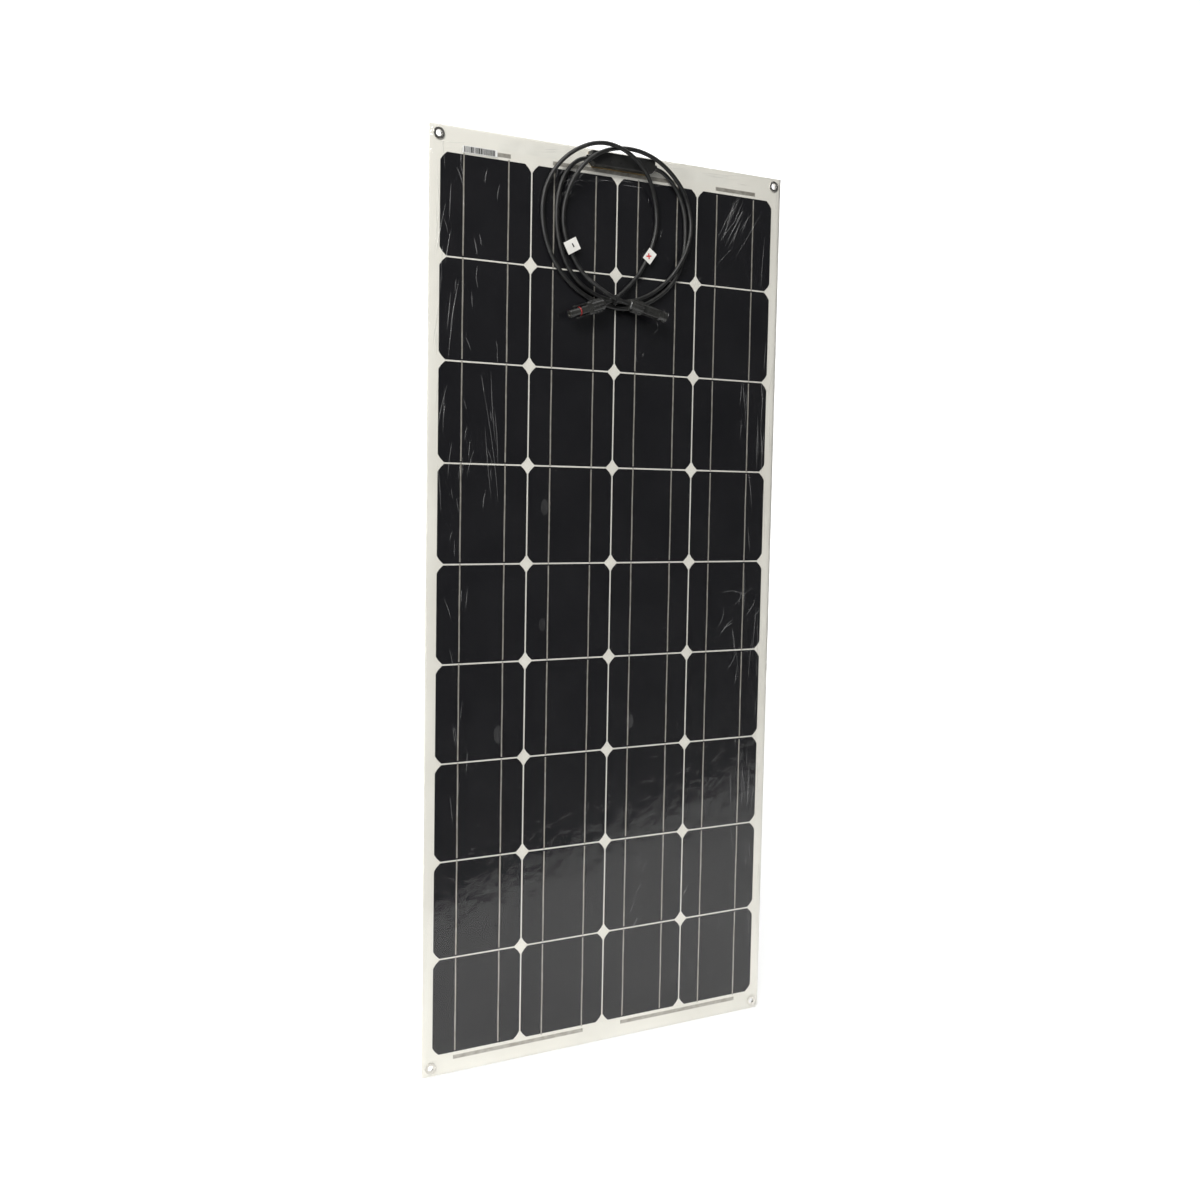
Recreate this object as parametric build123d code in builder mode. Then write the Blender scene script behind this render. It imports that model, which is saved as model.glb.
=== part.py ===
"""Flexible solar sheet: a thin 36-cell laminate with four eyelets, a slim junction box and two coiled leads.

X runs across the sheet, Z along it, and the cells face -Y. The origin is the middle of the eyelet pattern,
on the back plane, so a point's lift above the back plane is -Y.
"""
import os
from math import acos, pi, radians, tan

from build123d import *

os.makedirs("parts", exist_ok=True)

# ---- Sheet outline and cell grid -----------------------------------------------------------------
SHEET_WIDTH = 535.0
SHEET_LENGTH = 1200.0
CELL = 125.0
WAFER_RADIUS = 82.5
CELL_GAP = 2.0
PITCH = CELL + CELL_GAP
COLUMNS = 4
ROWS = 9
ARRAY_Z = -2.5
COLUMN_X = [(column - (COLUMNS - 1) / 2) * PITCH for column in range(COLUMNS)]
ROW_Z = [ARRAY_Z + ((ROWS - 1) / 2 - row) * PITCH for row in range(ROWS)]

# ---- Laminate, as lifts from the back plane ------------------------------------------------------
BACKSHEET_TOP = 0.3
BOARD_TOP = 1.3
REAR_EVA_TOP = 1.7
FRONT_EVA_TOP = 2.3
FILM_TOP = 2.5
PEEL_FILM_TOP = 2.58
CELL_THICKNESS = 0.2
RIBBON_THICKNESS = 0.15
LAYER_GAP = 0.02
FIT_GAP = 0.05
POCKET_MARGIN = 0.4

# ---- Bending sections: the sheet flexes at two of its row gaps -----------------------------------
SEAM_GAP = 0.5
TOP_SEAM_Z = ROW_Z[2] - PITCH / 2
LOW_SEAM_Z = ROW_Z[5] - PITCH / 2
HALF_LENGTH = SHEET_LENGTH / 2
SECTIONS = {
    "top": (TOP_SEAM_Z + SEAM_GAP / 2, HALF_LENGTH, range(0, 3)),
    "middle": (LOW_SEAM_Z + SEAM_GAP / 2, TOP_SEAM_Z - SEAM_GAP / 2, range(3, 6)),
    "bottom": (-HALF_LENGTH, LOW_SEAM_Z - SEAM_GAP / 2, range(6, 9)),
}

# ---- Tabbing and link ribbons --------------------------------------------------------------------
RIBBON_OFFSET = 31.0
RIBBON_WIDTH = 1.8
GROOVE_WIDTH = 2.2
RIBBON_X = [x + side * RIBBON_OFFSET for x in COLUMN_X for side in (-1, 1)]
LINK_HEIGHT = 5.0
LINK_THICKNESS = 0.2
ARRAY_TOP = ROW_Z[0] + CELL / 2
ARRAY_BOTTOM = ROW_Z[-1] - CELL / 2
TOP_LINK_Z = ARRAY_TOP + 6.0
LOW_LINK_Z = ARRAY_BOTTOM - 7.0
LINK_OVERHANG = 1.5

# ---- Eyelets -------------------------------------------------------------------------------------
EYELET_X = 255.5
EYELET_Z = 589.0
EYELET_BORE_R = 4.0
EYELET_BARREL_R = 4.5
EYELET_HOLE_R = 4.8
EYELET_FLANGE_R = 7.3
EYELET_ROUND = 0.3
EYELET_FLANGE = 0.7
WASHER_THICKNESS = 0.5

# ---- Junction box --------------------------------------------------------------------------------
BOX_X = 2.0
BOX_Z = 586.5
BOX_LENGTH = 96.0
BOX_DEPTH = 18.0
BOX_CORNER = 5.0
BOX_WALL = 1.6
BOX_FOOT = 3.4
BOX_RIM = 12.6
BOX_TOP = 15.6
CABLE_LIFT_AT_BOX = 8.5
LEAD_SLOT_LENGTH = 70.0
LEAD_SLOT_HEIGHT = 3.0
LEAD_SLOT_Z = BOX_Z - 5.0
TERMINAL_X = [BOX_X - 26.0, BOX_X, BOX_X + 26.0]

# ---- Leads ---------------------------------------------------------------------------------------
CABLE_R = 2.75
CABLE_CLEARANCE = 0.1
ARC_SHARE = 0.45

# Each route is a list of (x, z, lift) points, from the junction box to the connector.
POSITIVE_ROUTE = [
    (38, 586.5, 8.5), (60, 586.5, 8.5), (81, 573.5, 6.8), (97, 553.5, 6), (105, 530.5, 6),
    (106.5, 505.5, 6), (105, 480.5, 6), (98, 456.5, 6), (85, 435.5, 6), (65, 418.5, 6),
    (40, 404.5, 6), (12, 397.5, 6), (-16, 400, 6), (-45, 408.5, 6), (-70, 422.5, 6),
    (-90, 442.5, 6), (-104, 466.5, 6), (-112, 493, 6), (-114, 519, 6), (-109.5, 545.5, 7.5),
    (-96, 571.5, 13), (-75, 591, 20.5), (-49, 602.5, 26), (-22, 603.5, 27.2), (5, 594.5, 26.8),
    (30, 578.5, 22.5), (48, 559.5, 12.5), (59, 534.5, 6.2), (60, 508.5, 6), (52, 479.5, 6),
    (38, 451.5, 6), (20, 430.5, 7.2), (-1, 413, 12), (-18, 403.8, 17.8), (-42, 395.5, 18),
]
NEGATIVE_ROUTE = [
    (-34, 586.5, 8.5), (-55, 586.5, 8.5), (-72.5, 575, 6.8), (-85.5, 555.5, 6), (-92, 530.5, 6),
    (-93, 503.5, 6), (-89, 477.5, 6), (-79, 450.5, 6), (-62, 428.5, 6), (-39, 414.5, 6),
    (-12, 407.5, 6), (14, 407, 6), (40, 414.5, 6), (63, 427.5, 6), (83, 444.5, 6.5),
    (95, 464.5, 12), (106, 485.5, 12.5), (113.5, 510.5, 9), (112.5, 535.5, 6.5), (102, 559, 8.8),
    (81, 577.5, 14.5), (54, 592.5, 20.3), (27, 601.5, 20.5), (0, 603, 20.5), (-25, 598, 21.5),
    (-46, 588, 22.5), (-64, 572.5, 19.5), (-75, 551.5, 11.5), (-82, 525.5, 6.3), (-83.5, 501, 6),
    (-78, 479, 6), (-67, 457, 6), (-53, 437.5, 8), (-36, 422.5, 15.5), (-19, 411, 21.5),
    (-2, 405.3, 22.5), (22.9, 399.6, 22.4),
]

# ---- Connectors, along each one's own axis from the cable end ------------------------------------
NUT_LENGTH = 20.0
NUT_COLLAR = 5.0
NUT_COLLAR_R = 7.4
NUT_R = 8.3
NUT_RIB_R = 0.9
NUT_RIBS = 14
NUT_BORE_R = 6.6
NUT_MOUTH_R = 3.3
SEAL_START = 5.5
SEAL_END = 13.0
NUT_CHAMFER = 1.0
BODY_CORNER = 2.5
FLANK_CORNER = 2.0
SEAL_R = 6.3
SPIGOT_START = 13.5
SPIGOT_R = 6.2
SHOULDER = 20.5
CABLE_END = 14.85
CONTACT_CLEARANCE = 0.1
PIN_REAR = (8.5, 402.9, 22.4)
PIN_FRONT = (65.5, 389.8, 22.4)
SOCKET_REAR = (-28.0, 400.3, 18.0)
SOCKET_FRONT = (-78.4, 382.9, 18.0)


def at(x, z, lift):
    """A point given by its place on the sheet and its lift above the back plane."""
    return Vector(x, -lift, z)


def face_plane(lift):
    """A plane parallel to the sheet, with its normal out of the cell side."""
    return Plane.XZ.offset(lift)


def save(part, name):
    part.label = name
    export_step(part, f"parts/{name}.step")


def corner_points(low, high):
    """Eyelet places whose Z lies in one section."""
    return [(x, z) for x in (-EYELET_X, EYELET_X) for z in (-EYELET_Z, EYELET_Z) if low < z < high]


# ---- Cell outline: a square wafer cut from a round ingot -----------------------------------------
with BuildSketch(Plane.XY) as cell_outline:
    Rectangle(CELL, CELL)
    Circle(WAFER_RADIUS, mode=Mode.INTERSECT)

with BuildSketch(Plane.XY) as pocket_outline:
    Rectangle(CELL + POCKET_MARGIN, CELL + POCKET_MARGIN)
    Circle(WAFER_RADIUS + POCKET_MARGIN / 2, mode=Mode.INTERSECT)


def cell_centres(rows):
    return [(x, ROW_Z[row]) for row in rows for x in COLUMN_X]


# ---- Link ribbons in the end margins -------------------------------------------------------------
def link_box(x_from, x_to, z):
    """Centre and width of a link ribbon that spans two tabbing ribbons."""
    return (x_from + x_to) / 2, z, abs(x_to - x_from) + RIBBON_WIDTH + 2 * LINK_OVERHANG


TOP_LINKS = [
    link_box(RIBBON_X[0], RIBBON_X[1], TOP_LINK_Z),
    link_box(RIBBON_X[2], RIBBON_X[5], TOP_LINK_Z),
    link_box(RIBBON_X[6], RIBBON_X[7], TOP_LINK_Z),
]
LOW_LINKS = [
    link_box(RIBBON_X[0], RIBBON_X[3], LOW_LINK_Z),
    link_box(RIBBON_X[4], RIBBON_X[7], LOW_LINK_Z),
]


def save_links(name, links):
    with BuildPart() as ribbons:
        with BuildSketch(face_plane(REAR_EVA_TOP)):
            for x, z, width in links:
                with Locations((x, z)):
                    Rectangle(width, LINK_HEIGHT)
        extrude(amount=LINK_THICKNESS)
    save(ribbons.part, name)


save_links("top_link_ribbons", TOP_LINKS)
save_links("bottom_link_ribbons", LOW_LINKS)

# ---- Flat sheets of the laminate -----------------------------------------------------------------
INSULATION_WIDTH = 350.0
INSULATION_HEIGHT = 15.0
INSULATION_Z = 587.0
INSULATION_THICKNESS = 0.1
LEAD_POCKET_WIDTH = 452.0
LEAD_POCKET_HEIGHT = 9.0
LEAD_POCKET_RISE = 1.5
OUTPUT_LEAD_WIDTH = 5.0
OUTPUT_LEAD_THICKNESS = 0.2
OUTPUT_LEAD_LIFT = REAR_EVA_TOP - OUTPUT_LEAD_THICKNESS


def sheet_sketch(low, high, slotted):
    """Outline of one section of a full sheet, with its eyelet holes and the slot for the output leads."""
    with BuildSketch(Plane.XY) as outline:
        with Locations((0, (low + high) / 2)):
            Rectangle(SHEET_WIDTH, high - low)
        corners = corner_points(low, high)
        if corners:
            with Locations(*corners):
                Circle(EYELET_HOLE_R, mode=Mode.SUBTRACT)
        if slotted and high > LEAD_SLOT_Z:
            with Locations((BOX_X, LEAD_SLOT_Z)):
                Rectangle(LEAD_SLOT_LENGTH, LEAD_SLOT_HEIGHT, mode=Mode.SUBTRACT)
    return outline.sketch


def save_sheet(name, section, start, end, slotted):
    low, high, _ = SECTIONS[section]
    with BuildPart() as sheet:
        with BuildSketch(face_plane(start)):
            add(sheet_sketch(low, high, slotted))
        extrude(amount=end - start)
    save(sheet.part, f"{name}_{section}")


for section in SECTIONS:
    save_sheet("backsheet", section, 0.0, BACKSHEET_TOP, False)
    save_sheet("support_board", section, BACKSHEET_TOP, BOARD_TOP, False)
    save_sheet("front_film", section, FRONT_EVA_TOP, FILM_TOP, True)
    save_sheet("peel_film", section, FILM_TOP, PEEL_FILM_TOP, True)

# ---- Cells ---------------------------------------------------------------------------------------
for section, (low, high, rows) in SECTIONS.items():
    with BuildPart() as cells:
        with BuildSketch(face_plane(REAR_EVA_TOP)):
            with Locations(*cell_centres(rows)):
                add(cell_outline.sketch)
        extrude(amount=CELL_THICKNESS)
    save(cells.part, f"cells_{section}")

# ---- Tabbing ribbons: from the face of one cell, through the gap, to the back of the next --------
CELL_FACE = REAR_EVA_TOP + CELL_THICKNESS
RIBBON_BACK = REAR_EVA_TOP - RIBBON_THICKNESS
STRAND_END = 2.0
JOG = 0.7


def strand(z_from, z_to, lift):
    """Profile of a flat strand in the YZ plane, lying at one lift."""
    far = -lift - RIBBON_THICKNESS
    return [(-lift, z_from), (far, z_from), (far, z_to), (-lift, z_to)]


def jog_profile(seam, front_side):
    """Strand that passes a cell gap: on the cells' faces on one side of it, behind them on the other."""
    front = seam + front_side * JOG
    back = seam - front_side * JOG
    front_end = seam + front_side * (CELL - STRAND_END)
    back_end = seam - front_side * (CELL - STRAND_END)
    return [
        (-CELL_FACE, front_end),
        (-CELL_FACE - RIBBON_THICKNESS, front_end),
        (-CELL_FACE - RIBBON_THICKNESS, front),
        (-RIBBON_BACK - RIBBON_THICKNESS, back),
        (-RIBBON_BACK - RIBBON_THICKNESS, back_end),
        (-RIBBON_BACK, back_end),
        (-RIBBON_BACK, back),
        (-CELL_FACE, front),
    ]


def ribbon_profiles(low, high, rows, faces_up):
    """All strands of one ribbon line. faces_up says that a face strand leads to the cell above."""
    first, last = ROW_Z[rows[0]] + CELL / 2, ROW_Z[rows[-1]] - CELL / 2
    upper_end = min(high, TOP_LINK_Z + LINK_HEIGHT / 2)
    lower_end = max(low, LOW_LINK_Z - LINK_HEIGHT / 2)
    upper_lift, lower_lift = (CELL_FACE, RIBBON_BACK) if faces_up else (RIBBON_BACK, CELL_FACE)
    profiles = [
        strand(first - CELL + STRAND_END, upper_end, upper_lift),
        strand(lower_end, last + CELL - STRAND_END, lower_lift),
    ]
    for row in rows[:-1]:
        seam = ROW_Z[row] - PITCH / 2
        profiles.append(jog_profile(seam, -1 if faces_up else 1))
    return profiles


for section, (low, high, rows) in SECTIONS.items():
    with BuildPart() as ribbons:
        for index, x in enumerate(RIBBON_X):
            faces_up = (index // 2) % 2 == 0
            with BuildSketch(Plane.YZ.offset(x - RIBBON_WIDTH / 2)):
                for profile in ribbon_profiles(low, high, list(rows), faces_up):
                    Polygon(*profile, align=None)
            extrude(amount=RIBBON_WIDTH)
    save(ribbons.part, f"tabbing_ribbons_{section}")

# ---- Encapsulant, with pockets for what is embedded in it ----------------------------------------
for section, (low, high, rows) in SECTIONS.items():
    groove_low = max(low, LOW_LINK_Z - LINK_HEIGHT)
    groove_high = min(high, TOP_LINK_Z + LINK_HEIGHT)
    grooves = [(x, (groove_low + groove_high) / 2) for x in RIBBON_X]
    links = [link for link in TOP_LINKS + LOW_LINKS if low < link[1] < high]

    with BuildPart() as front_layer:
        with BuildSketch(face_plane(REAR_EVA_TOP)):
            add(sheet_sketch(low, high, True))
        extrude(amount=FRONT_EVA_TOP - REAR_EVA_TOP)
        with BuildSketch(face_plane(REAR_EVA_TOP)):
            with Locations(*cell_centres(rows)):
                add(pocket_outline.sketch)
        extrude(amount=CELL_THICKNESS + LAYER_GAP, mode=Mode.SUBTRACT)
        with BuildSketch(face_plane(REAR_EVA_TOP)):
            with Locations(*grooves):
                Rectangle(GROOVE_WIDTH, groove_high - groove_low)
        extrude(amount=CELL_THICKNESS + RIBBON_THICKNESS + LAYER_GAP, mode=Mode.SUBTRACT)
        if links:
            with BuildSketch(face_plane(REAR_EVA_TOP)):
                for x, z, width in links:
                    with Locations((x, z)):
                        Rectangle(width + POCKET_MARGIN, LINK_HEIGHT + POCKET_MARGIN)
            extrude(amount=LINK_THICKNESS + LAYER_GAP, mode=Mode.SUBTRACT)
        if section == "top":
            with BuildSketch(face_plane(REAR_EVA_TOP)):
                with Locations((BOX_X, INSULATION_Z)):
                    Rectangle(INSULATION_WIDTH + POCKET_MARGIN, INSULATION_HEIGHT + POCKET_MARGIN)
            extrude(amount=INSULATION_THICKNESS + LAYER_GAP, mode=Mode.SUBTRACT)
    save(front_layer.part, f"front_encapsulant_{section}")

    with BuildPart() as rear_layer:
        with BuildSketch(face_plane(BOARD_TOP)):
            add(sheet_sketch(low, high, False))
        extrude(amount=REAR_EVA_TOP - BOARD_TOP)
        with BuildSketch(face_plane(RIBBON_BACK - LAYER_GAP)):
            with Locations(*grooves):
                Rectangle(GROOVE_WIDTH, groove_high - groove_low)
        extrude(amount=RIBBON_THICKNESS + LAYER_GAP, mode=Mode.SUBTRACT)
        if section == "top":
            with BuildSketch(face_plane(OUTPUT_LEAD_LIFT - LAYER_GAP)):
                with Locations((BOX_X, INSULATION_Z)):
                    Rectangle(INSULATION_WIDTH + POCKET_MARGIN, INSULATION_HEIGHT + POCKET_MARGIN)
                with Locations((0, TOP_LINK_Z + LEAD_POCKET_RISE)):
                    Rectangle(LEAD_POCKET_WIDTH, LEAD_POCKET_HEIGHT)
            extrude(amount=OUTPUT_LEAD_THICKNESS + LAYER_GAP, mode=Mode.SUBTRACT)
    save(rear_layer.part, f"rear_encapsulant_{section}")

# ---- Output leads: flat ribbons from the string ends to the terminals ----------------------------
TAB_TOP = 6.0
TAB_THICKNESS = 0.25
TAB_Z = LEAD_SLOT_Z
LEAD_RUN_Z = 588.0
LEAD_GAP = 2.0
LEAD_INSET = 26.0


def save_output_leads():
    outer_left, outer_right = TOP_LINKS[0], TOP_LINKS[2]
    with BuildPart() as leads:
        with BuildSketch(face_plane(OUTPUT_LEAD_LIFT)):
            for link, terminal in ((outer_left, TERMINAL_X[0]), (outer_right, TERMINAL_X[2])):
                inner = link[0] + (LEAD_INSET if link[0] < 0 else -LEAD_INSET)
                low = TOP_LINK_Z - LINK_HEIGHT / 2
                high = LEAD_RUN_Z + OUTPUT_LEAD_WIDTH / 2
                with Locations((inner, (low + high) / 2)):
                    Rectangle(OUTPUT_LEAD_WIDTH, high - low)
                with Locations(((inner + terminal) / 2, LEAD_RUN_Z)):
                    Rectangle(abs(inner - terminal) + OUTPUT_LEAD_WIDTH, OUTPUT_LEAD_WIDTH)
                with Locations((terminal, (TAB_Z + LEAD_RUN_Z) / 2)):
                    Rectangle(OUTPUT_LEAD_WIDTH, LEAD_RUN_Z - TAB_Z + OUTPUT_LEAD_WIDTH - LEAD_GAP)
            with Locations((TERMINAL_X[1], (TOP_LINK_Z - LINK_HEIGHT / 2 + LEAD_SLOT_Z + LEAD_GAP) / 2)):
                Rectangle(OUTPUT_LEAD_WIDTH, LEAD_SLOT_Z + LEAD_GAP - TOP_LINK_Z + LINK_HEIGHT / 2)
        extrude(amount=OUTPUT_LEAD_THICKNESS)
        with BuildSketch(face_plane(OUTPUT_LEAD_LIFT)):
            with Locations(*[(x, TAB_Z) for x in TERMINAL_X]):
                Rectangle(OUTPUT_LEAD_WIDTH, TAB_THICKNESS)
        extrude(amount=TAB_TOP - OUTPUT_LEAD_LIFT)
    save(leads.part, "output_leads")


save_output_leads()

with BuildPart() as insulation_strip:
    with BuildSketch(face_plane(REAR_EVA_TOP)):
        with Locations((BOX_X, INSULATION_Z)):
            Rectangle(INSULATION_WIDTH, INSULATION_HEIGHT)
        with Locations((BOX_X, LEAD_SLOT_Z)):
            Rectangle(LEAD_SLOT_LENGTH, LEAD_SLOT_HEIGHT, mode=Mode.SUBTRACT)
    extrude(amount=INSULATION_THICKNESS)
save(insulation_strip.part, "insulation_strip")

# ---- Eyelets and their back washers --------------------------------------------------------------
with BuildPart() as eyelet:
    with BuildSketch(Plane.XZ.offset(PEEL_FILM_TOP)):
        Circle(EYELET_FLANGE_R)
        Circle(EYELET_BORE_R, mode=Mode.SUBTRACT)
    extrude(amount=EYELET_FLANGE)
    fillet(eyelet.edges().group_by(Axis.Y)[0], EYELET_ROUND)
    with BuildSketch(Plane.XZ.offset(-WASHER_THICKNESS)):
        Circle(EYELET_BARREL_R)
        Circle(EYELET_BORE_R, mode=Mode.SUBTRACT)
    extrude(amount=PEEL_FILM_TOP + WASHER_THICKNESS + FIT_GAP)

with BuildPart() as washer:
    with BuildSketch(Plane.XZ.offset(-WASHER_THICKNESS)):
        Circle(EYELET_FLANGE_R)
        Circle(EYELET_BARREL_R + FIT_GAP, mode=Mode.SUBTRACT)
    extrude(amount=WASHER_THICKNESS)

for end, z in (("top", EYELET_Z), ("bottom", -EYELET_Z)):
    for name, piece in (("eyelets", eyelet), ("eyelet_washers", washer)):
        with BuildPart() as pair:
            with Locations((-EYELET_X, 0, z), (EYELET_X, 0, z)):
                add(piece.part)
        save(pair.part, f"{name}_{end}")

# ---- Serial label over the first link ribbon: plain bars only ------------------------------------
LABEL_X = -200.0
LABEL_Z = 574.5
LABEL_WIDTH = 48.0
LABEL_HEIGHT = 8.5
LABEL_THICKNESS = 0.08

with BuildPart() as serial_label:
    with BuildSketch(face_plane(PEEL_FILM_TOP)):
        with Locations((LABEL_X, LABEL_Z)):
            Rectangle(LABEL_WIDTH, LABEL_HEIGHT)
    extrude(amount=LABEL_THICKNESS)
save(serial_label.part, "serial_label")


# ---- Junction box --------------------------------------------------------------------------------
def box_outline(inset):
    """Box outline with its two lower corners cut off."""
    half_x = BOX_LENGTH / 2 - inset
    half_z = BOX_DEPTH / 2 - inset
    cut = BOX_CORNER - inset / 2
    return [
        (BOX_X - half_x, BOX_Z + half_z),
        (BOX_X + half_x, BOX_Z + half_z),
        (BOX_X + half_x, BOX_Z - half_z + cut),
        (BOX_X + half_x - cut, BOX_Z - half_z),
        (BOX_X - half_x + cut, BOX_Z - half_z),
        (BOX_X - half_x, BOX_Z - half_z + cut),
    ]


SEALANT_SQUEEZE = 1.6
BOX_FLOOR = 1.5

with BuildPart() as sealant:
    with BuildSketch(face_plane(PEEL_FILM_TOP)):
        Polygon(*box_outline(0), align=None)
        with Locations((BOX_X, BOX_Z - BOX_DEPTH / 2)):
            Rectangle(BOX_LENGTH - 2 * BOX_CORNER, 2 * SEALANT_SQUEEZE)
        with Locations((BOX_X, LEAD_SLOT_Z)):
            Rectangle(LEAD_SLOT_LENGTH, LEAD_SLOT_HEIGHT, mode=Mode.SUBTRACT)
    extrude(amount=BOX_FOOT - PEEL_FILM_TOP)
save(sealant.part, "junction_box_sealant")

with BuildPart() as box_base:
    with BuildSketch(face_plane(BOX_FOOT)):
        Polygon(*box_outline(0), align=None)
    extrude(amount=BOX_RIM - BOX_FOOT)
    with BuildSketch(face_plane(BOX_FOOT + BOX_FLOOR)):
        Polygon(*box_outline(BOX_WALL), align=None)
    extrude(amount=BOX_RIM - BOX_FOOT - BOX_FLOOR, mode=Mode.SUBTRACT)
    with BuildSketch(face_plane(BOX_FOOT)):
        with Locations((BOX_X, LEAD_SLOT_Z)):
            Rectangle(LEAD_SLOT_LENGTH, LEAD_SLOT_HEIGHT)
    extrude(amount=BOX_FLOOR, mode=Mode.SUBTRACT)
    with BuildSketch(Plane.YZ.offset(BOX_X - BOX_LENGTH / 2 - 1)):
        with Locations((-CABLE_LIFT_AT_BOX, BOX_Z)):
            Circle(CABLE_R + CABLE_CLEARANCE)
    extrude(amount=BOX_LENGTH + 2, mode=Mode.SUBTRACT)
save(box_base.part, "junction_box_base")

GASKET_OUTER = 0.4
GASKET_INNER = 1.3
GASKET_THICKNESS = 0.6
LID_ROUND = 1.2
VENT_R = 1.2
VENT_DEPTH = 0.8
VENT_PLACES = [(BOX_X - 21.0, BOX_Z - 1.5), (BOX_X - 5.0, BOX_Z - 3.0)]

with BuildPart() as box_gasket:
    with BuildSketch(face_plane(BOX_RIM)):
        Polygon(*box_outline(GASKET_OUTER), align=None)
        Polygon(*box_outline(GASKET_INNER), align=None, mode=Mode.SUBTRACT)
    extrude(amount=GASKET_THICKNESS)
save(box_gasket.part, "junction_box_gasket")

with BuildPart() as box_lid:
    with BuildSketch(face_plane(BOX_RIM)):
        Polygon(*box_outline(0), align=None)
    extrude(amount=BOX_TOP - BOX_RIM)
    fillet(box_lid.edges().group_by(Axis.Y)[0], LID_ROUND)
    with BuildSketch(face_plane(BOX_RIM)):
        Polygon(*box_outline(GASKET_OUTER - FIT_GAP), align=None)
        Polygon(*box_outline(GASKET_INNER + FIT_GAP), align=None, mode=Mode.SUBTRACT)
    extrude(amount=GASKET_THICKNESS, mode=Mode.SUBTRACT)
    with BuildSketch(face_plane(BOX_TOP - VENT_DEPTH)):
        with Locations(*VENT_PLACES):
            Circle(VENT_R)
    extrude(amount=VENT_DEPTH, mode=Mode.SUBTRACT)
save(box_lid.part, "junction_box_lid")

# ---- Terminal rails and bypass diodes inside the box ---------------------------------------------
RAIL_LENGTH = 12.0
RAIL_HEIGHT = 5.0
RAIL_THICKNESS = 0.8
RAIL_LIFT = BOX_FOOT + BOX_FLOOR
RAIL_Z = TAB_Z + TAB_THICKNESS / 2 + RAIL_HEIGHT / 2 + 0.05
DIODE_R = 2.0
DIODE_STANDOFF = 0.7
DIODE_SPACING = 26.0
DIODE_LEAD = 3.5
DIODE_LENGTH = 8.0
DIODE_LIFT = RAIL_LIFT + RAIL_THICKNESS + DIODE_STANDOFF + DIODE_R
DIODE_Z = RAIL_Z + 5.5
DIODE_LEAD_R = 0.5

with BuildPart() as terminal_rails:
    with BuildSketch(face_plane(RAIL_LIFT)):
        with Locations(*[(x, RAIL_Z) for x in TERMINAL_X]):
            Rectangle(RAIL_LENGTH, RAIL_HEIGHT)
    extrude(amount=RAIL_THICKNESS)
save(terminal_rails.part, "terminal_rails")

with BuildPart() as bypass_diodes:
    for x in (BOX_X - DIODE_SPACING / 2, BOX_X + DIODE_SPACING / 2):
        with BuildSketch(Plane.YZ.offset(x - DIODE_LENGTH / 2)):
            with Locations((-DIODE_LIFT, DIODE_Z)):
                Circle(DIODE_R)
        extrude(amount=DIODE_LENGTH)
        with BuildSketch(Plane.YZ.offset(x - DIODE_LENGTH / 2 - DIODE_LEAD)):
            with Locations((-DIODE_LIFT, DIODE_Z)):
                Circle(DIODE_LEAD_R)
        extrude(amount=DIODE_LENGTH + 2 * DIODE_LEAD)
save(bypass_diodes.part, "bypass_diodes")

# ---- Cable collars on the ends of the box --------------------------------------------------------
COLLAR_LENGTH = 4.5
COLLAR_ROOT_R = 4.6
COLLAR_TIP_R = 3.6
COLLAR_BORE_R = 3.2

for side, direction in (("left", -1), ("right", 1)):
    end_x = BOX_X + direction * BOX_LENGTH / 2
    with BuildPart(Plane(origin=at(end_x, BOX_Z, CABLE_LIFT_AT_BOX), z_dir=(direction, 0, 0))) as collar:
        Cone(COLLAR_ROOT_R, COLLAR_TIP_R, COLLAR_LENGTH, align=(Align.CENTER, Align.CENTER, Align.MIN))
        Cylinder(
            COLLAR_BORE_R, COLLAR_LENGTH, align=(Align.CENTER, Align.CENTER, Align.MIN), mode=Mode.SUBTRACT
        )
    save(collar.part, f"cable_collar_{side}")


# ---- Leads: straight runs joined by tangent arcs -------------------------------------------------
def arc_radii(points):
    """The largest tangent arc that each corner's two runs allow."""
    radii = []
    for before, corner, after in zip(points, points[1:], points[2:]):
        arriving = corner - before
        leaving = after - corner
        turn = radians(arriving.get_angle(leaving))
        radii.append(ARC_SHARE * min(arriving.length, leaving.length) / tan(turn / 2))
    return radii


def save_cable(name, route):
    points = [at(x, z, lift) for x, z, lift in route]
    radii = arc_radii(points)
    with BuildPart() as cable:
        with BuildLine() as path:
            FilletPolyline(*points, radius=radii)
        start = path.wires()[0]
        with BuildSketch(Plane(origin=points[0], z_dir=points[1] - points[0])):
            Circle(CABLE_R)
        sweep(path=start)
    save(cable.part, name)
    expected = pi * CABLE_R**2 * start.length
    print(f"{name}: length {start.length:.1f} mm, volume {cable.part.volume:.0f} of {expected:.0f} mm3")
    print("  radii", [round(radius) for radius in radii])


save_cable("cable_positive", POSITIVE_ROUTE)
save_cable("cable_negative", NEGATIVE_ROUTE)

# ---- Polarity tags wrapped round the leads -------------------------------------------------------
TAG_SLEEVE_R = 3.3
TAG_BORE_R = 3.1
TAG_SLEEVE_LENGTH = 8.0
TAG_THICKNESS = 0.4
TAG_LIFT = 6.0


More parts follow.
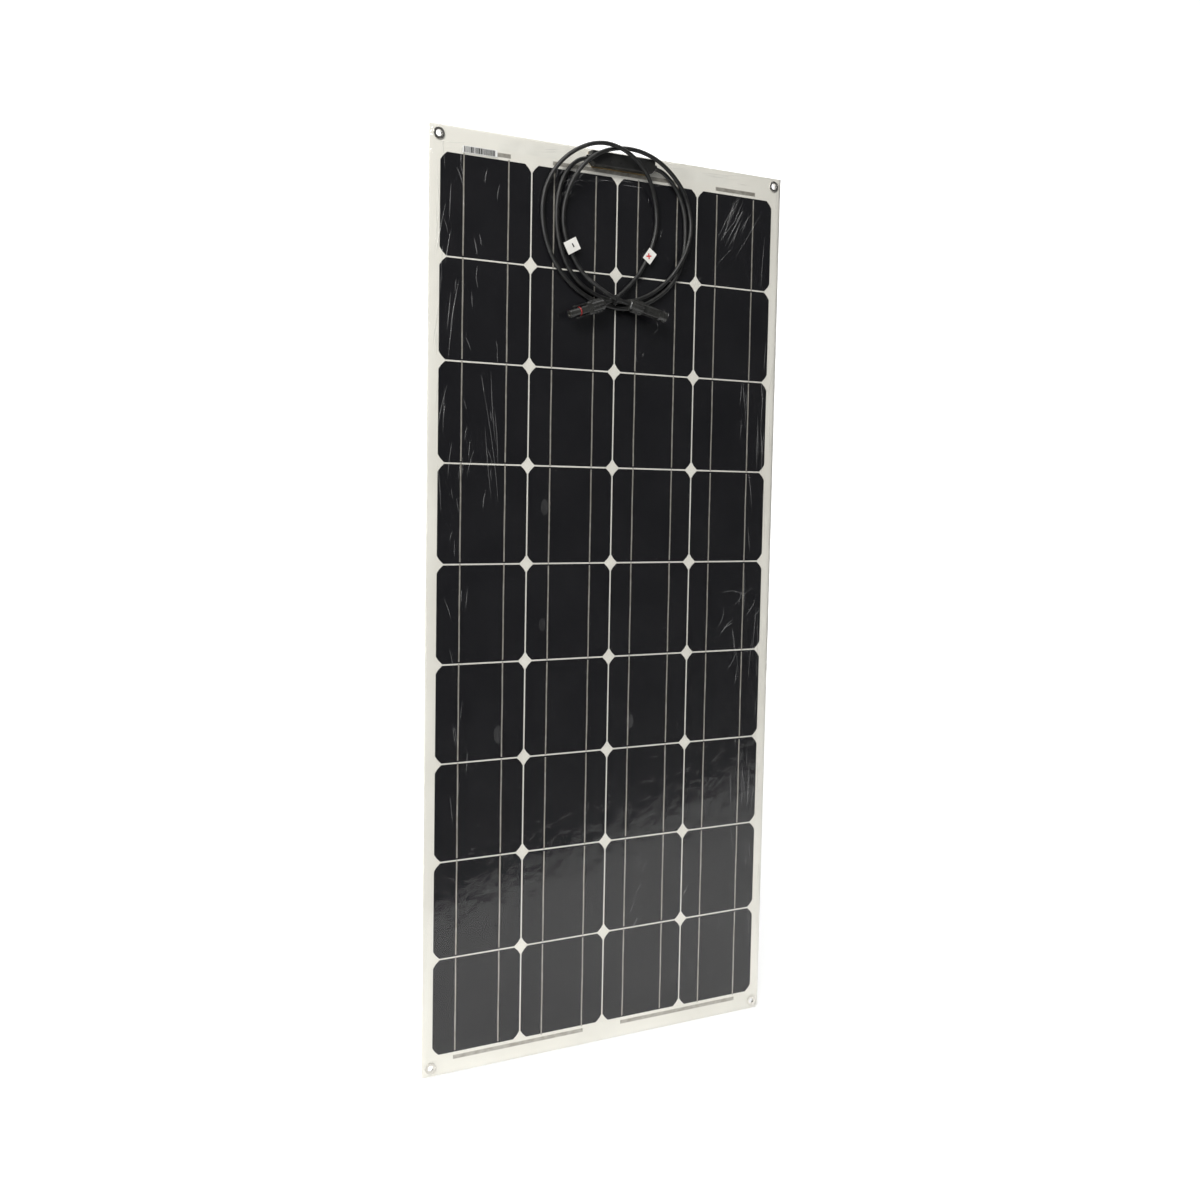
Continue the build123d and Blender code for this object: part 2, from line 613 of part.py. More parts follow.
def save_tag(name, centre, along, flag_centre, flag_size, flag_angle):
    """A sleeve round the lead at centre, with a flat flag on its outer side."""
    x, z = centre
    direction = Vector(along[0], 0, along[1]).normalized()
    start = at(x, z, TAG_LIFT) - direction * (TAG_SLEEVE_LENGTH / 2)
    flag_lift = TAG_LIFT + TAG_BORE_R + LAYER_GAP
    with BuildPart() as tag:
        with BuildSketch(Plane(origin=start, z_dir=direction)):
            Circle(TAG_SLEEVE_R)
            Circle(TAG_BORE_R, mode=Mode.SUBTRACT)
        extrude(amount=TAG_SLEEVE_LENGTH)
        with BuildSketch(face_plane(flag_lift)):
            with Locations(Location(flag_centre, flag_angle)):
                Rectangle(*flag_size)
        extrude(amount=TAG_THICKNESS)
    save(tag.part, name)


save_tag("tag_negative", (-74.0, 471.1), (0.43, -0.90), (-70.9, 471.8), (20.0, 16.5), 29.0)
save_tag("tag_positive", (47.7, 471.0), (-0.42, -0.91), (47.7, 470.7), (13.8, 17.5), -36.0)

# ---- Tie round the two last strands where they cross ---------------------------------------------
TIE_X = -10.1
TIE_Z = 408.0
TIE_WIDTH = 2.5
TIE_LOW = 11.6
TIE_HIGH = 25.2
TIE_SPAN = TIE_HIGH - TIE_LOW
TIE_OPENING = 8.6
TIE_CORNER = 3.0
TIE_BAND = 1.0
TIE_HEAD = 4.0
TIE_HEAD_DROP = 0.8
TIE_HEAD_HEIGHT = 2.2
TIE_HEAD_CORNER = 0.6

with BuildPart() as coil_tie:
    with BuildSketch(Plane.YZ.offset(TIE_X - TIE_WIDTH / 2)):
        with Locations((-(TIE_LOW + TIE_HIGH) / 2, TIE_Z)):
            RectangleRounded(TIE_SPAN + 2 * TIE_BAND, TIE_OPENING + 2 * TIE_BAND, TIE_CORNER + TIE_BAND)
            RectangleRounded(TIE_SPAN, TIE_OPENING, TIE_CORNER, mode=Mode.SUBTRACT)
    extrude(amount=TIE_WIDTH)
    with BuildSketch(Plane.YZ.offset(TIE_X - TIE_HEAD / 2)):
        with Locations((-(TIE_LOW + TIE_HIGH) / 2, TIE_Z - TIE_OPENING / 2 - TIE_BAND - TIE_HEAD_DROP)):
            RectangleRounded(TIE_HEAD, TIE_HEAD_HEIGHT, TIE_HEAD_CORNER)
    extrude(amount=TIE_HEAD)
save(coil_tie.part, "coil_tie")


# ---- Cable connectors ----------------------------------------------------------------------------
def connector_plane(rear, front):
    """Frame of a connector: Z from the cable end to the mating end, X out from the sheet."""
    rear_point, front_point = at(*rear), at(*front)
    return Plane(origin=rear_point, x_dir=(0, -1, 0), z_dir=front_point - rear_point)


def ring(plane, start, end, outer, inner):
    """A plain tube along a connector's axis."""
    with BuildPart() as tube:
        with BuildSketch(plane.offset(start)):
            Circle(outer)
            Circle(inner, mode=Mode.SUBTRACT)
        extrude(amount=end - start)
    return tube.part


def save_cap_nut(name, plane):
    with BuildPart() as nut:
        with BuildSketch(plane):
            Circle(NUT_COLLAR_R)
        extrude(amount=NUT_COLLAR)
        chamfer(nut.faces().sort_by(Axis(plane.origin, plane.z_dir))[0].edges(), NUT_CHAMFER)
        with BuildSketch(plane.offset(NUT_COLLAR)):
            Circle(NUT_R)
            with PolarLocations(NUT_R, NUT_RIBS):
                Circle(NUT_RIB_R)
        extrude(amount=NUT_LENGTH - NUT_COLLAR)
        with BuildSketch(plane.offset(NUT_COLLAR)):
            Circle(NUT_BORE_R)
        extrude(amount=NUT_LENGTH - NUT_COLLAR, mode=Mode.SUBTRACT)
        with BuildSketch(plane):
            Circle(NUT_MOUTH_R)
        extrude(amount=NUT_COLLAR, mode=Mode.SUBTRACT)
    save(nut.part, name)


PIN_BODY_END = 46.0
PIN_LENGTH = 58.5
PIN_CAVITY_START = 42.0
PIN_BODY_SIZE = 12.0
PIN_MOUTH_R = 5.6
PIN_HOOD_R = 7.0
PIN_RADIUS = 2.0
PIN_TIP = 51.0
CRIMP_R = 3.0
CRIMP_END = 32.0
PIN_COLLAR_LENGTH = 3.0
WINDOW_WIDTH = 5.0
WINDOW_START = 49.0
WINDOW_LENGTH = 5.0
BODY_RAIL_R = 1.2
BODY_RAIL_LIFT = PIN_BODY_SIZE / 2 - 0.6
BODY_RAIL_SIDE = PIN_BODY_SIZE / 2 - 1.0


# The threaded rear end of each housing, inside its cap nut, is drawn as a plain spigot.
pin_plane = connector_plane(PIN_REAR, PIN_FRONT)
with BuildPart() as pin_housing:
    with BuildSketch(pin_plane.offset(SPIGOT_START)):
        Circle(SPIGOT_R)
    extrude(amount=SHOULDER - SPIGOT_START)
    with BuildSketch(pin_plane.offset(SHOULDER)):
        RectangleRounded(PIN_BODY_SIZE, PIN_BODY_SIZE, BODY_CORNER)
        with Locations((BODY_RAIL_LIFT, BODY_RAIL_SIDE), (BODY_RAIL_LIFT, -BODY_RAIL_SIDE)):
            Circle(BODY_RAIL_R)
    extrude(amount=PIN_BODY_END - SHOULDER)
    with BuildSketch(pin_plane.offset(PIN_BODY_END)):
        Circle(PIN_HOOD_R)
    extrude(amount=PIN_LENGTH - PIN_BODY_END)
    with BuildSketch(pin_plane.offset(SPIGOT_START)):
        Circle(CRIMP_R + CONTACT_CLEARANCE)
    extrude(amount=PIN_CAVITY_START - SPIGOT_START, mode=Mode.SUBTRACT)
    with BuildSketch(pin_plane.offset(PIN_CAVITY_START)):
        Circle(PIN_MOUTH_R)
    extrude(amount=PIN_LENGTH - PIN_CAVITY_START, mode=Mode.SUBTRACT)
    with BuildSketch(pin_plane.offset(WINDOW_START)):
        Rectangle(WINDOW_WIDTH, 2 * PIN_HOOD_R + 2)
    extrude(amount=WINDOW_LENGTH, mode=Mode.SUBTRACT)
save(pin_housing.part, "pin_housing")
save_cap_nut("pin_cap_nut", pin_plane)
save(ring(pin_plane, SEAL_START, SEAL_END, SEAL_R, CABLE_R + CABLE_CLEARANCE), "pin_cable_seal")

with BuildPart() as pin_contact:
    with BuildSketch(pin_plane.offset(CABLE_END)):
        Circle(CRIMP_R)
    extrude(amount=CRIMP_END - CABLE_END)
    with BuildSketch(pin_plane.offset(CRIMP_END)):
        Circle(PIN_RADIUS)
    extrude(amount=PIN_TIP - CRIMP_END)
    with BuildSketch(pin_plane.offset(PIN_CAVITY_START - PIN_COLLAR_LENGTH)):
        Circle(CRIMP_R)
    extrude(amount=PIN_COLLAR_LENGTH)
save(pin_contact.part, "pin_contact")

SOCKET_BODY_END = 36.0
SOCKET_LENGTH = 53.0
SOCKET_CONTACT_END = 52.5
SOCKET_BODY_SIZE = 12.0
SOCKET_FLANK = 9.2
PROBE_R = 4.9
SOCKET_BORE_R = 2.05
SOCKET_OUTER_R = 3.0
ROOT_BLOCK_END = 25.5
ROOT_BLOCK_WIDTH = 16.4
O_RING_START = 36.25
O_RING_R = 0.7
O_RING_GROOVE_R = 4.4
O_RING_SEAT = 1.9

socket_plane = connector_plane(SOCKET_REAR, SOCKET_FRONT)
with BuildPart() as socket_housing:
    with BuildSketch(socket_plane.offset(SPIGOT_START)):
        Circle(SPIGOT_R)
    extrude(amount=SHOULDER - SPIGOT_START)
    with BuildSketch(socket_plane.offset(SHOULDER)):
        RectangleRounded(SOCKET_BODY_SIZE, ROOT_BLOCK_WIDTH, BODY_CORNER)
    extrude(amount=ROOT_BLOCK_END - SHOULDER)
    with BuildSketch(socket_plane.offset(ROOT_BLOCK_END)):
        RectangleRounded(SOCKET_BODY_SIZE, SOCKET_FLANK, FLANK_CORNER)
    extrude(amount=SOCKET_BODY_END - ROOT_BLOCK_END)
    with BuildSketch(socket_plane.offset(SOCKET_BODY_END)):
        Circle(O_RING_GROOVE_R)
    extrude(amount=O_RING_SEAT)
    with BuildSketch(socket_plane.offset(SOCKET_BODY_END + O_RING_SEAT)):
        Circle(PROBE_R)
    extrude(amount=SOCKET_LENGTH - SOCKET_BODY_END - O_RING_SEAT)
    with BuildSketch(socket_plane.offset(SPIGOT_START)):
        Circle(SOCKET_OUTER_R + CONTACT_CLEARANCE)
    extrude(amount=SOCKET_LENGTH - SPIGOT_START, mode=Mode.SUBTRACT)
save(socket_housing.part, "socket_housing")
save_cap_nut("socket_cap_nut", socket_plane)
save(ring(socket_plane, SEAL_START, SEAL_END, SEAL_R, CABLE_R + CABLE_CLEARANCE), "socket_cable_seal")

with BuildPart() as socket_contact:
    with BuildSketch(socket_plane.offset(CABLE_END)):
        Circle(SOCKET_OUTER_R)
    extrude(amount=SOCKET_CONTACT_END - CABLE_END)
    with BuildSketch(socket_plane.offset(SOCKET_BODY_END)):
        Circle(SOCKET_BORE_R)
    extrude(amount=SOCKET_CONTACT_END - SOCKET_BODY_END, mode=Mode.SUBTRACT)
save(socket_contact.part, "socket_contact")

o_ring_centre = O_RING_GROOVE_R + O_RING_R + FIT_GAP
with BuildPart(socket_plane.offset(O_RING_START + O_RING_R)) as o_ring:
    Torus(o_ring_centre, O_RING_R)
save(o_ring.part, "socket_o_ring")

# ---- Latch fingers of the socket connector -------------------------------------------------------
FINGER_START = ROOT_BLOCK_END + 0.3
FINGER_END = 44.0
FINGER_INNER = 6.8
FINGER_OUTER = 8.0
FINGER_WIDTH = 5.0
BARB_LENGTH = 3.0
BARB_HEIGHT = 0.8

for name, side in (("latch_finger_upper", 1), ("latch_finger_lower", -1)):
    middle = side * (FINGER_INNER + FINGER_OUTER) / 2
    with BuildPart() as finger:
        with BuildSketch(socket_plane.offset(FINGER_START)):
            with Locations((0, middle)):
                Rectangle(FINGER_WIDTH, FINGER_OUTER - FINGER_INNER)
        extrude(amount=FINGER_END - FINGER_START)
        with BuildSketch(socket_plane.offset(FINGER_END - BARB_LENGTH)):
            with Locations((0, side * (FINGER_OUTER + BARB_HEIGHT / 2))):
                Rectangle(FINGER_WIDTH, BARB_HEIGHT)
        extrude(amount=BARB_LENGTH)
    save(finger.part, name)
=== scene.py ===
"""Looks of the flexible solar sheet: laminate, protective film, junction box, leads and connectors."""

import math
import random

import bmesh
import bpy
from mathutils import Matrix, Vector, noise


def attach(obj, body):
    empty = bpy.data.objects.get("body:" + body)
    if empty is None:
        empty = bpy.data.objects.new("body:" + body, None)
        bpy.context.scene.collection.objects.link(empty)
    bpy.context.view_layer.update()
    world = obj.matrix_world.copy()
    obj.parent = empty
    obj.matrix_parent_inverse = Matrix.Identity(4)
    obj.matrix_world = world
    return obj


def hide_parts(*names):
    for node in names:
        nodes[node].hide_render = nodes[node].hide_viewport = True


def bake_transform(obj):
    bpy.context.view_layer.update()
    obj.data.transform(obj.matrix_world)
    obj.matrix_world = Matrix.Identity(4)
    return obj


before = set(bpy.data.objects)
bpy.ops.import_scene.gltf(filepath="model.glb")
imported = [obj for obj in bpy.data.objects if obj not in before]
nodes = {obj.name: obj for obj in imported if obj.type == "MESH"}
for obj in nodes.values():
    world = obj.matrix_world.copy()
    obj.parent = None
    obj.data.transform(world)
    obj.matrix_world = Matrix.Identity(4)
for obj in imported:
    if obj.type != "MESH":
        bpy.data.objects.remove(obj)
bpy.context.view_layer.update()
MM = 0.001

# ---- The sheet's own sizes, in millimetres --------------------------------------------------------
HALF_WIDTH = 267.5
HALF_LENGTH = 600.0
CELL = 125.0
WAFER_RADIUS = 82.5
PITCH = 127.0
ARRAY_Z = -2.5
COLUMN_X = [(column - 1.5) * PITCH for column in range(4)]
ROW_Z = [ARRAY_Z + (4 - row) * PITCH for row in range(9)]
RIBBON_OFFSET = 31.0
RIBBON_WIDTH = 1.8
EYELETS = [(x, z) for x in (-255.5, 255.5) for z in (-589.0, 589.0)]
EYELET_HOLE_R = 4.7
CUTTER_DEPTH = 20.0

# Lifts above the back plane
BACKING_TOP = 1.72
CELL_TOP = 1.9
RIBBON_TOP = 2.05
FILM_TOP = 2.5
PEEL_BOTTOM = FILM_TOP + 0.01
PEEL_TOP = 2.58

# The sheet bends round two lines, and its pieces meet where it doesn't bend
UPPER_BEND_Z = 188.0
LOWER_BEND_Z = -193.0
HALVES_Z = ROW_Z[3] - PITCH / 2

# Sizes of the faces that the bending pieces are made of
SHEET_STEP = 13.0
PEEL_STEP = 7.0
CELL_STEP = 5.0
RIBBON_STEP = 6.0

# ---- Leads: the same points as the model's tubes, as (x, z, lift) ---------------------------------
CABLE_DIAMETER = 5.5
POSITIVE_ROUTE = [
    (38, 586.5, 8.5), (60, 586.5, 8.5), (81, 573.5, 6.8), (97, 553.5, 6), (105, 530.5, 6),
    (106.5, 505.5, 6), (105, 480.5, 6), (98, 456.5, 6), (85, 435.5, 6), (65, 418.5, 6),
    (40, 404.5, 6), (12, 397.5, 6), (-16, 400, 6), (-45, 408.5, 6), (-70, 422.5, 6),
    (-90, 442.5, 6), (-104, 466.5, 6), (-112, 493, 6), (-114, 519, 6), (-109.5, 545.5, 7.5),
    (-96, 571.5, 13), (-75, 591, 20.5), (-49, 602.5, 26), (-22, 603.5, 27.2), (5, 594.5, 26.8),
    (30, 578.5, 22.5), (48, 559.5, 12.5), (59, 534.5, 6.2), (60, 508.5, 6), (52, 479.5, 6),
    (38, 451.5, 6), (20, 430.5, 7.2), (-1, 413, 12), (-18, 403.8, 17.8), (-42, 395.5, 18),
]
NEGATIVE_ROUTE = [
    (-34, 586.5, 8.5), (-55, 586.5, 8.5), (-72.5, 575, 6.8), (-85.5, 555.5, 6), (-92, 530.5, 6),
    (-93, 503.5, 6), (-89, 477.5, 6), (-79, 450.5, 6), (-62, 428.5, 6), (-39, 414.5, 6),
    (-12, 407.5, 6), (14, 407, 6), (40, 414.5, 6), (63, 427.5, 6), (83, 444.5, 6.5),
    (95, 464.5, 12), (106, 485.5, 12.5), (113.5, 510.5, 9), (112.5, 535.5, 6.5), (102, 559, 8.8),
    (81, 577.5, 14.5), (54, 592.5, 20.3), (27, 601.5, 20.5), (0, 603, 20.5), (-25, 598, 21.5),
    (-46, 588, 22.5), (-64, 572.5, 19.5), (-75, 551.5, 11.5), (-82, 525.5, 6.3), (-83.5, 501, 6),
    (-78, 479, 6), (-67, 457, 6), (-53, 437.5, 8), (-36, 422.5, 15.5), (-19, 411, 21.5),
    (-2, 405.3, 22.5), (22.9, 399.6, 22.4),
]


def at(x, z, lift):
    """A point in the shared frame, in metres, from its place on the sheet and its lift, in millimetres."""
    return Vector((x * MM, -lift * MM, z * MM))


# ---- Camera --------------------------------------------------------------------------------------
def add_camera():
    data = bpy.data.cameras.new("camera")
    data.lens = 40.87
    data.sensor_width = 36.0
    camera = bpy.data.objects.new("camera", data)
    eye = Vector((-0.9368, -1.5757, 0.1543))
    look = Vector((0.5038, 0.8603, -0.0783))
    right = Vector((0.8635, -0.5040, 0.0184))
    up = right.cross(look)
    camera.matrix_world = Matrix.Translation(eye) @ Matrix((right, up, -look)).transposed().to_4x4()
    bpy.context.collection.objects.link(camera)
    bpy.context.scene.camera = camera


add_camera()


# ---- Node helpers --------------------------------------------------------------------------------
class Shader:
    """A node material built up one node at a time."""

    def __init__(self, name):
        self.material = bpy.data.materials.new(name)
        self.material.use_nodes = True
        self.tree = self.material.node_tree
        self.tree.nodes.clear()
        self.output = self.tree.nodes.new("ShaderNodeOutputMaterial")

    def node(self, kind, settings=None, **inputs):
        made = self.tree.nodes.new("ShaderNode" + kind)
        for key, value in (settings or {}).items():
            setattr(made, key, value)
        for key, value in inputs.items():
            self.set(made, key.replace("_", " "), value)
        return made

    def set(self, node, socket, value):
        target = node.inputs[int(socket)] if socket.isdigit() else node.inputs[socket]
        if isinstance(value, bpy.types.NodeSocket):
            self.tree.links.new(value, target)
        else:
            target.default_value = value

    def place(self, use_uv):
        return self.node("TexCoord").outputs["UV" if use_uv else "Object"]

    def noise(self, where, scale, detail=3.0):
        return self.node("TexNoise", Vector=where, Scale=scale, Detail=detail).outputs["Fac"]

    def remap(self, value, low, high, to_low, to_high):
        limits = {"From_Min": low, "From_Max": high, "To_Min": to_low, "To_Max": to_high}
        return self.node("MapRange", Value=value, **limits).outputs["Result"]

    def blend_colours(self, factor, first, second):
        mixed = self.node("Mix", {"data_type": "RGBA"}, Factor=factor)
        self.set(mixed, "6", first)
        self.set(mixed, "7", second)
        return mixed.outputs[2]

    def bump(self, height, strength, distance):
        return self.node("Bump", Height=height, Strength=strength, Distance=distance).outputs["Normal"]

    def finish(self, surface):
        self.tree.links.new(surface, self.output.inputs["Surface"])
        return self.material


def rgb(red, green, blue):
    return (red, green, blue, 1.0)


def moulded(name, dark, light, roughness, grain=900.0, bump=0.15, metallic=0.0, coat=0.0):
    """A solid material with mottled colour, uneven roughness and a fine grain."""
    shader = Shader(name)
    where = shader.place(False)
    cloud = shader.noise(where, 60.0)
    fine = shader.noise(where, grain, 5.0)
    colour = shader.blend_colours(shader.remap(cloud, 0.35, 0.65, 0.0, 1.0), dark, light)
    rough = shader.remap(fine, 0.3, 0.7, roughness - 0.07, roughness + 0.07)
    normal = shader.bump(fine, bump, 0.0004)
    principled = shader.node("BsdfPrincipled", Base_Color=colour, Roughness=rough, Normal=normal)
    shader.set(principled, "Metallic", metallic)
    shader.set(principled, "Coat Weight", coat)
    return shader.finish(principled.outputs[0])


# ---- Cords ---------------------------------------------------------------------------------------
def cable_material():
    """Satin black jacket with faint scuffs."""
    shader = Shader("cable_jacket")
    where = shader.place(False)
    scuffs = shader.noise(where, 140.0, 6.0)
    colour = shader.blend_colours(
        shader.remap(scuffs, 0.45, 0.75, 0.0, 1.0), rgb(0.006, 0.006, 0.006), rgb(0.020, 0.020, 0.018)
    )
    rough = shader.remap(scuffs, 0.3, 0.7, 0.46, 0.58)
    normal = shader.bump(shader.noise(where, 1500.0), 0.10, 0.0003)
    return shader.finish(
        shader.node("BsdfPrincipled", Base_Color=colour, Roughness=rough, Normal=normal).outputs[0]
    )


def add_cable(name, route, material):
    curve = bpy.data.curves.new(name, "CURVE")
    curve.dimensions = "3D"
    curve.bevel_depth = CABLE_DIAMETER / 2 * MM
    curve.bevel_resolution = 6
    curve.resolution_u = 10
    curve.use_fill_caps = True
    spline = curve.splines.new("NURBS")
    spline.points.add(len(route) - 1)
    for point, (x, z, lift) in zip(spline.points, route):
        point.co = (*at(x, z, lift), 1.0)
    spline.order_u = 3
    spline.use_endpoint_u = True
    curve.materials.append(material)
    cable = bpy.data.objects.new(name, curve)
    bpy.context.collection.objects.link(cable)
    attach(cable, "top")
    return cable


JACKET = cable_material()
positive = add_cable("lead_positive", POSITIVE_ROUTE, JACKET)
negative = add_cable("lead_negative", NEGATIVE_ROUTE, JACKET)
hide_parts("cable_positive")
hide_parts("cable_negative")


# ---- Mesh helpers --------------------------------------------------------------------------------
def add_mesh(name, points, faces, materials, face_slots=None):
    """A mesh object whose UV map holds each point's place on the sheet, in metres."""
    mesh = bpy.data.meshes.new(name)
    mesh.from_pydata([tuple(point) for point in points], [], faces)
    for material in materials:
        mesh.materials.append(material)
    for polygon, slot in zip(mesh.polygons, face_slots or []):
        polygon.material_index = slot
    made = bpy.data.objects.new(name, mesh)
    bpy.context.collection.objects.link(made)
    map_sheet(made)
    return made


def map_sheet(made):
    """Lays the sheet's own x and z out as texture coordinates."""
    layer = made.data.uv_layers.get("sheet") or made.data.uv_layers.new(name="sheet")
    for loop in made.data.loops:
        x, _, z = made.data.vertices[loop.vertex_index].co
        layer.data[loop.index].uv = (x, z)


def steps(start, end, spacing):
    """Even levels from start to end, about a spacing apart."""
    count = max(1, round(abs(end - start) / spacing))
    return [start + (end - start) * index / count for index in range(count + 1)]


def sheet_layer(name, low_z, high_z, bottom, top, spacing, materials, relief=None, clear=False):
    """A layer of the sheet over one half of its length. relief(x, z) raises its front.

    A clear layer keeps only the faces that meet air, so that light isn't reflected at its hidden ones.
    """
    xs = steps(-HALF_WIDTH, HALF_WIDTH, spacing)
    zs = steps(low_z, high_z, spacing)
    points = []
    for lift, raised in ((top, relief), (bottom, None)):
        for z in zs:
            for x in xs:
                points.append(at(x, z, lift + (raised(x, z) if raised else 0.0)))
    across = len(xs)
    layer = across * len(zs)
    faces = []
    for row in range(len(zs) - 1):
        for column in range(across - 1):
            corner = row * across + column
            faces.append((corner, corner + 1, corner + across + 1, corner + across))
            back = corner + layer
            faces.append((back, back + across, back + across + 1, back + 1))
    rim = list(range(across))
    rim += [row * across + across - 1 for row in range(1, len(zs))]
    rim += [(len(zs) - 1) * across + column for column in range(across - 2, -1, -1)]
    rim += [row * across for row in range(len(zs) - 2, 0, -1)]
    for first, second in zip(rim, rim[1:] + rim[:1]):
        faces.append((first, first + layer, second + layer, second))
    made = add_mesh(name, points, faces, materials)
    cut_eyelet_holes(made, low_z, high_z)
    if clear:
        keep_outer_faces(made, bottom)
    if relief:
        for polygon in made.data.polygons:
            polygon.use_smooth = abs(polygon.normal.y) > 0.5
    return made


def close_strip(faces, start, levels):
    """Faces of a closed strip that has four points at each level, the first of them at start."""
    for level in range(len(levels) - 1):
        for side in range(4):
            first = start + level * 4 + side
            second = start + level * 4 + (side + 1) % 4
            faces.append((first, second, second + 4, first + 4))
    faces.append(tuple(start + side for side in (3, 2, 1, 0)))
    faces.append(tuple(start + (len(levels) - 1) * 4 + side for side in range(4)))


def cut_eyelet_holes(made, low_z, high_z):
    """Opens the sheet where the eyelets' barrels pass through it."""
    cutters = []
    for x, z in EYELETS:
        if low_z < z < high_z:
            bpy.ops.mesh.primitive_cylinder_add(
                vertices=32, radius=EYELET_HOLE_R * MM, depth=CUTTER_DEPTH * MM,
                location=at(x, z, 0.0), rotation=(math.pi / 2, 0, 0),
            )
            cutters.append(bpy.context.object)
    for cutter in cutters:
        modifier = made.modifiers.new("hole", "BOOLEAN")
        modifier.object = cutter
        modifier.solver = "EXACT"
        modifier.operation = "DIFFERENCE"
    graph = bpy.context.evaluated_depsgraph_get()
    cut = bpy.data.meshes.new_from_object(made.evaluated_get(graph))
    made.modifiers.clear()
    made.data = cut
    map_sheet(made)
    for cutter in cutters:
        bpy.data.objects.remove(cutter)


def keep_outer_faces(made, bottom):
    """Removes a layer's back, and the ends where the two halves meet."""
    mesh = bmesh.new()
    mesh.from_mesh(made.data)
    hidden = []
    for face in mesh.faces:
        centre = face.calc_center_median()
        at_back = abs(face.normal.y) > 0.9 and abs(centre.y + bottom * MM) < 0.02 * MM
        at_join = abs(face.normal.z) > 0.9 and abs(centre.z - HALVES_Z * MM) < 0.1 * MM
        if at_back or at_join:
            hidden.append(face)
    bmesh.ops.delete(mesh, geom=hidden, context="FACES")
    mesh.to_mesh(made.data)
    mesh.free()


HALVES = {
    "upper": (HALVES_Z, HALF_LENGTH, ("top", "middle"), UPPER_BEND_Z, ("top", "middle")),
    "lower": (-HALF_LENGTH, HALVES_Z, ("middle", "bottom"), LOWER_BEND_Z, ("bottom",)),
}


def bend_with_sheet(piece, half, slot, *replaced):
    """Bakes a piece of one half into place, in place of its sections of the CAD layers."""
    _, _, (above, below), bend_z, sections = HALVES[half]
    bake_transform(piece)
    for layer in replaced:
        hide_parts(*[f"{layer}_{section}" for section in sections])


# ---- Laminate: white backing ---------------------------------------------------------------------
def backing_material():
    """Warm white board and backsheet, a little mottled, seen through clear layers."""
    shader = Shader("backsheet")
    where = shader.place(True)
    cloud = shader.noise(where, 9.0)
    fine = shader.noise(where, 700.0)
    colour = shader.blend_colours(
        shader.remap(cloud, 0.35, 0.65, 0.0, 1.0), rgb(0.86, 0.845, 0.79), rgb(0.80, 0.785, 0.73)
    )
    normal = shader.bump(fine, 0.12, 0.0003)
    rough = shader.remap(fine, 0.3, 0.7, 0.42, 0.58)
    return shader.finish(
        shader.node("BsdfPrincipled", Base_Color=colour, Roughness=rough, Normal=normal).outputs[0]
    )


BACKING = backing_material()
for half, (low_z, high_z, *_) in HALVES.items():
    backing = sheet_layer(f"backing_{half}", low_z, high_z, 0.0, BACKING_TOP, SHEET_STEP, [BACKING])
    bend_with_sheet(backing, half, "backsheet", "backsheet", "support_board", "rear_encapsulant")


# ---- Laminate: cells -----------------------------------------------------------------------------
FINGER_PITCH = 2.0
BAND_SCALE = 2 * math.pi / 20 / (FINGER_PITCH * MM)


def cell_material():
    """Blue-black silicon with hairline printed fingers and a slight change of tone from cell to cell."""
    shader = Shader("silicon_cell")
    where = shader.place(True)
    fingers = shader.node("TexWave", {"bands_direction": "Y"}, Vector=where, Scale=BAND_SCALE).outputs["Fac"]
    lines = shader.remap(fingers, 0.80, 0.98, 0.0, 0.35)
    tone = shader.noise(where, 7.0)
    base = shader.blend_colours(tone, rgb(0.0026, 0.0025, 0.0045), rgb(0.0044, 0.0042, 0.0062))
    colour = shader.blend_colours(lines, base, rgb(0.020, 0.020, 0.022))
    sheen = shader.remap(shader.noise(where, 300.0), 0.3, 0.7, 0.38, 0.44)
    surface = shader.node("BsdfPrincipled", Base_Color=colour, Roughness=sheen, Specular_IOR_Level=0.22)
    return shader.finish(surface.outputs[0])


def half_width(z):
    """Half of a wafer's width at a height from its middle: square sides, rounded at the corners."""
    return min(CELL / 2, math.sqrt(WAFER_RADIUS**2 - z**2))


def cell_rows(name, rows, material):
    """A row's cells as thin closed plates, made of strips so that they can bend."""
    points, faces = [], []
    levels = steps(-CELL / 2, CELL / 2, CELL_STEP)
    for row in rows:
        for x in COLUMN_X:
            start = len(points)
            for z in levels:
                reach = half_width(z)
                for side, lift in ((-1, CELL_TOP), (1, CELL_TOP), (1, BACKING_TOP), (-1, BACKING_TOP)):
                    points.append(at(x + side * reach, ROW_Z[row] + z, lift))
            close_strip(faces, start, levels)
    return add_mesh(name, points, faces, [material])


SILICON = cell_material()
HALF_ROWS = {"upper": range(0, 4), "lower": range(4, 9)}
for half, rows in HALF_ROWS.items():
    bend_with_sheet(cell_rows(f"cells_{half}", rows, SILICON), half, "silicon_cell", "cells")


# ---- Laminate: ribbons on the cells' faces -------------------------------------------------------
RIBBON_OVERRUN = 1.3
RIBBON_STOP = 2.0
RIBBON_DRIFT = 0.12


def ribbon_material():
    """Solder-coated copper, dull and slightly uneven."""
    shader = Shader("tinned_ribbon")
    where = shader.place(False)
    patches = shader.noise(where, 160.0)
    colour = shader.blend_colours(
        shader.remap(patches, 0.35, 0.65, 0.0, 1.0), rgb(0.34, 0.32, 0.28), rgb(0.48, 0.46, 0.42)
    )
    normal = shader.bump(shader.noise(where, 600.0), 0.3, 0.0003)
    principled = shader.node("BsdfPrincipled", Base_Color=colour, Roughness=0.38, Normal=normal)
    shader.set(principled, "Metallic", 0.35)
    return shader.finish(principled.outputs[0])


